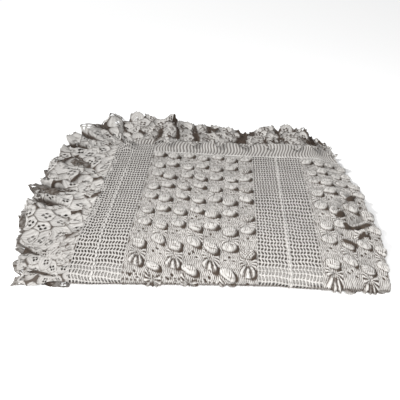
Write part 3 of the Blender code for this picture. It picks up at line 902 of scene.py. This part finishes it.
def lace_border(run):
    """A gathered lace border: out from the edge, waved more and more to its rim, and petalled all over.

    The petals are finer at the front and a little finer behind, where long trebles lead to them. They stand
    along the sheet's own smoothed normal. The rim is cut along the outermost ones, and faces stretched by a
    cut are left out. The mask of painted shade gathers the lace's own hollows, the gathers' valleys and the
    holes, with more on the lower runs and at the front.
    """
    lobe = bpy.context.scene.bedspread_sizes.lobe
    upper = run.name == "upper"
    distance, fanned = border_samples(run, FOLD_WRAP if upper else 0.0)
    place, middle = distance + run.start - FRONT_NOSE, fanned + run.start - FRONT_NOSE
    out = np.linspace(0.0, 1.0, run.out_steps)[None, :]
    behind = ease((place - 0.50) / 0.2) * run.turns
    reach = np.interp(place, [row[1] for row in TOP_BORDER], [row[2] for row in TOP_BORDER])
    sheet, crest = border_sheet(run, distance, place, middle, out, behind, reach)

    finer = 1.0 + 0.20 * ease((place - 0.56) / 0.12) + 0.70 * ease((0.13 - place) / 0.08)
    u, v = middle + 0.0 * out, reach * (1.0 - out)
    counted = np.append(0.0, np.cumsum(finer[1:] * np.diff(middle, axis=0)))[:, None] + 0.0 * out
    ranked = v * finer * (1.0 + 0.5 * behind * (run.reach_behind < 1))
    relief, dark, hole, petal = lace_pattern(counted, ranked, lobe, lobe * 0.92, run.first_crest)
    relief = relief * (0.55 + 0.45 / finer) * (1 + 0.5 * behind) - 0.0045 * np.clip(hole, 0, 1) * behind
    neck = ease((0.030 - reach * out) / 0.006) * behind * upper
    neck_ribs = np.cos(2 * math.pi * (u + 0.0020 * np.sin(90.0 * v)) / LONG_TREBLE)
    relief = relief * (1 - neck) + 0.0012 * neck_ribs * neck
    # painted shade between the long trebles' ribs
    dark = dark * (1 - neck) + 0.40 * (1 - neck_ribs) * neck
    hole = hole * (1 - neck)
    calm = 0.50 + 0.50 * ease((place - 0.04) / 0.14)

    steep = np.cross(np.gradient(sheet, axis=1), np.gradient(sheet, axis=0))
    steep /= np.maximum(np.linalg.norm(steep, axis=2, keepdims=True), 1e-9)
    steep = np.stack([blurred(steep[..., axis], run.out_steps // 18) for axis in range(3)], axis=-1)
    points = sheet + steep * (relief * calm * (0.45 + 0.55 * ease(out / 0.06)))[..., None]
    points[..., 2] = np.maximum(points[..., 2], 0.0004)

    # painted shade in the gathers' valleys
    valley = np.clip(0.30 - 1.2 * crest, 0.0, 1.0) * ease((out - 0.20) / 0.4)
    # painted shade over the lower runs and at the front
    shade = run.shade - 0.04 * behind + 0.18 * ease((0.18 - place) / 0.1)
    dark = dark * (0.25 + 0.75 * calm) * (1 + 0.15 * behind)
    # all of it painted shade, the holes' too
    painted_shade = shade + dark + 1.3 * valley + (0.5 + 0.5 * behind) * np.clip(hole, 0, 1)
    painted_shade = np.clip(painted_shade, 0, 1)
    painted_shade = 0.20 * painted_shade + 0.80 * ease(1.20 * painted_shade - 0.04)
    past_rim = (petal < 0.20) & (v * finer < lobe * 0.60)
    cut = (((hole > 0.5) & (behind < 0.5)) | past_rim) * 1
    kept = cut[:-1, :-1] + cut[1:, 1:] + cut[1:, :-1] + cut[:-1, 1:] < 2
    stretched = np.linalg.norm(points[1:, 1:] - points[:-1, :-1], axis=-1) > 0.0125
    kept &= ~(stretched & (v[1:, 1:] < 0.024))
    piece = skin_piece("lace_" + run.name, points[:, ::-1], np.stack([u, v], axis=-1)[:, ::-1],
                       painted_shade[:, ::-1], cotton("lace_cotton_yarn"), kept[:, ::-1])
    if run.name != "tier":
        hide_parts("lace_border_top" if upper else "lace_border_" + run.name)
    return piece


# ---------------------------------------------------------------- operators

class BEDSPREAD_OT_mesh_bands(bpy.types.Operator):
    """Build the filet mesh bands left and right of the middle"""
    bl_idname = "bedspread.mesh_bands"
    bl_label = "Mesh bands"

    def execute(self, context):
        mesh_band("mesh_band_left", LEFT_EDGE, CENTRE_LEFT, 16, 0.012)
        mesh_band("mesh_band_right", CENTRE_RIGHT, PANEL_RIGHT, 19, HEADING_END)
        return {"FINISHED"}


class BEDSPREAD_OT_shell_panels(bpy.types.Operator):
    """Build the panels of bow-tie shells in the middle and at the side fold"""
    bl_idname = "bedspread.shell_panels"
    bl_label = "Shell panels"

    def execute(self, context):
        shell_panel("shell_panel_centre", CENTRE_LEFT, CENTRE_RIGHT, -0.1440, 0.147, 0.0015)
        shell_panel("shell_panel_right", PANEL_RIGHT, FOLD_TURN + HALF * math.pi, 0.3385, 0.155, 0.0015)
        return {"FINISHED"}


class BEDSPREAD_OT_heading(bpy.types.Operator):
    """Build the ribbed heading along the free end"""
    bl_idname = "bedspread.heading"
    bl_label = "Heading"

    def execute(self, context):
        heading("heading")
        return {"FINISHED"}


class BEDSPREAD_OT_seam_ridges(bpy.types.Operator):
    """Build the two raised lines of knots along the seams of the mesh bands"""
    bl_idname = "bedspread.seam_ridges"
    bl_label = "Seam ridges"

    def execute(self, context):
        seam_ridge("seam_ridge_left", LEFT_RIDGE)
        seam_ridge("seam_ridge_right", RIGHT_RIDGE)
        return {"FINISHED"}


class BEDSPREAD_OT_cloth(bpy.types.Operator):
    """Build the folded cloth; the pieces worked on its show side must be there already"""
    bl_idname = "bedspread.cloth"
    bl_label = "Folded cloth"

    def execute(self, context):
        missing = [name for name in WORKED_PIECES if name not in bpy.data.objects]
        if missing:
            raise RuntimeError("build these first: " + ", ".join(missing))
        folded_cloth()
        return {"FINISHED"}


class BEDSPREAD_OT_borders(bpy.types.Operator):
    """Build the gathered lace borders along the free edges of every pass"""
    bl_idname = "bedspread.borders"
    bl_label = "Lace borders"

    def execute(self, context):
        for run in BORDER_RUNS:
            lace_border(run)
        return {"FINISHED"}


def area_light(name, place, aim, size, power, colour):
    """A square soft light at a place, turned to face a point."""
    data = bpy.data.lights.new(name, "AREA")
    data.size = size
    data.energy = power
    data.color = colour
    light = bpy.data.objects.new(name, data)
    bpy.context.scene.collection.objects.link(light)
    away = np.array(aim, dtype=float) - np.array(place, dtype=float)
    flat = math.hypot(away[0], away[1])
    light.location = place
    light.rotation_euler = (math.atan2(flat, -away[2]), 0.0, math.atan2(-away[0], away[1]))
    return light


def soft_room():
    """A world that lights softly all round, and that the camera itself sees as a pale wall."""
    world = bpy.data.worlds.new("soft_room")
    world.use_nodes = True
    tree = world.node_tree
    fill = tree.nodes["Background"]
    fill.inputs["Color"].default_value = (0.98, 0.985, 1.0, 1.0)
    fill.inputs["Strength"].default_value = 0.26
    wall = add_node(tree, "Background", {"Color": (0.95, 0.95, 0.95, 1.0)})
    seen, mix = add_node(tree, "LightPath"), add_node(tree, "MixShader")
    tree.links.new(seen.outputs["Is Camera Ray"], mix.inputs["Fac"])
    tree.links.new(fill.outputs["Background"], mix.inputs[1])
    tree.links.new(wall.outputs["Background"], mix.inputs[2])
    tree.links.new(mix.outputs["Shader"], tree.nodes["World Output"].inputs["Surface"])
    return world


class BEDSPREAD_OT_stage(bpy.types.Operator):
    """Set up the plain pale floor, the soft lights and the camera"""
    bl_idname = "bedspread.stage"
    bl_label = "Stage"

    def execute(self, context):
        settings = context.scene.bedspread_stage
        bpy.ops.mesh.primitive_plane_add(size=60.0, location=(0.0, 0.0, 0.0))
        floor = context.object
        floor.name = "floor"
        material = bpy.data.materials.new("pale_floor")
        material.use_nodes = True
        shader = material.node_tree.nodes["Principled BSDF"]
        shader.inputs["Base Color"].default_value = settings.floor
        shader.inputs["Roughness"].default_value = 0.95
        shader.inputs["Specular IOR Level"].default_value = 0.1
        floor.data.materials.append(material)
        area_light("key_light", (-24.0, 4.5, 24.0), (0.0, 0.0, 0.0), 5.0, 11200.0, (1.0, 1.0, 0.995))
        area_light("front_light", (0.1, -1.15, 0.95), (0.0, -0.4, 0.0), 0.6, 25.0, (1.0, 1.0, 0.995))
        context.scene.world = soft_room()
        context.scene.view_settings.view_transform = "Standard"
        data = bpy.data.cameras.new("camera")
        data.lens = 36.0
        data.sensor_width = 36.0
        data.clip_start = 0.01
        camera = bpy.data.objects.new("camera", data)
        context.scene.collection.objects.link(camera)
        camera.location = (0.0612 + SHIFT[0], SHIFT[1], settings.camera_height)
        camera.rotation_euler = (math.pi / 2 - settings.camera_pitch, 0.0, settings.camera_turn)
        context.scene.camera = camera
        return {"FINISHED"}


class BEDSPREAD_PT_panel(bpy.types.Panel):
    """The bedspread's operators and sizes"""
    bl_idname = "BEDSPREAD_PT_panel"
    bl_label = "Crochet bedspread"
    bl_space_type = "VIEW_3D"
    bl_region_type = "UI"
    bl_category = "Bedspread"

    def draw(self, context):
        for operator in OPERATORS:
            self.layout.operator(operator.bl_idname)
        scene = context.scene
        for settings in (scene.bedspread_sizes, scene.bedspread_yarns, scene.bedspread_stage):
            column = self.layout.column()
            for name in settings.__annotations__:
                column.prop(settings, name)


OPERATORS = (
    BEDSPREAD_OT_mesh_bands, BEDSPREAD_OT_shell_panels, BEDSPREAD_OT_heading, BEDSPREAD_OT_seam_ridges,
    BEDSPREAD_OT_cloth, BEDSPREAD_OT_borders, BEDSPREAD_OT_stage)
GROUPS = (BedspreadSizes, BedspreadYarns, BedspreadStage)


def register():
    for item in GROUPS + OPERATORS + (BEDSPREAD_PT_panel,):
        bpy.utils.register_class(item)
    bpy.types.Scene.bedspread_sizes = bpy.props.PointerProperty(type=BedspreadSizes)
    bpy.types.Scene.bedspread_yarns = bpy.props.PointerProperty(type=BedspreadYarns)
    bpy.types.Scene.bedspread_stage = bpy.props.PointerProperty(type=BedspreadStage)


def unregister():
    del bpy.types.Scene.bedspread_sizes
    del bpy.types.Scene.bedspread_yarns
    del bpy.types.Scene.bedspread_stage
    for item in reversed(GROUPS + OPERATORS + (BEDSPREAD_PT_panel,)):
        bpy.utils.unregister_class(item)


def main():
    register()
    bpy.ops.bedspread.mesh_bands()
    bpy.ops.bedspread.shell_panels()
    bpy.ops.bedspread.heading()
    bpy.ops.bedspread.seam_ridges()
    bpy.ops.bedspread.cloth()
    bpy.ops.bedspread.borders()
    bpy.ops.bedspread.stage()


if __name__ == "__main__":
    main()
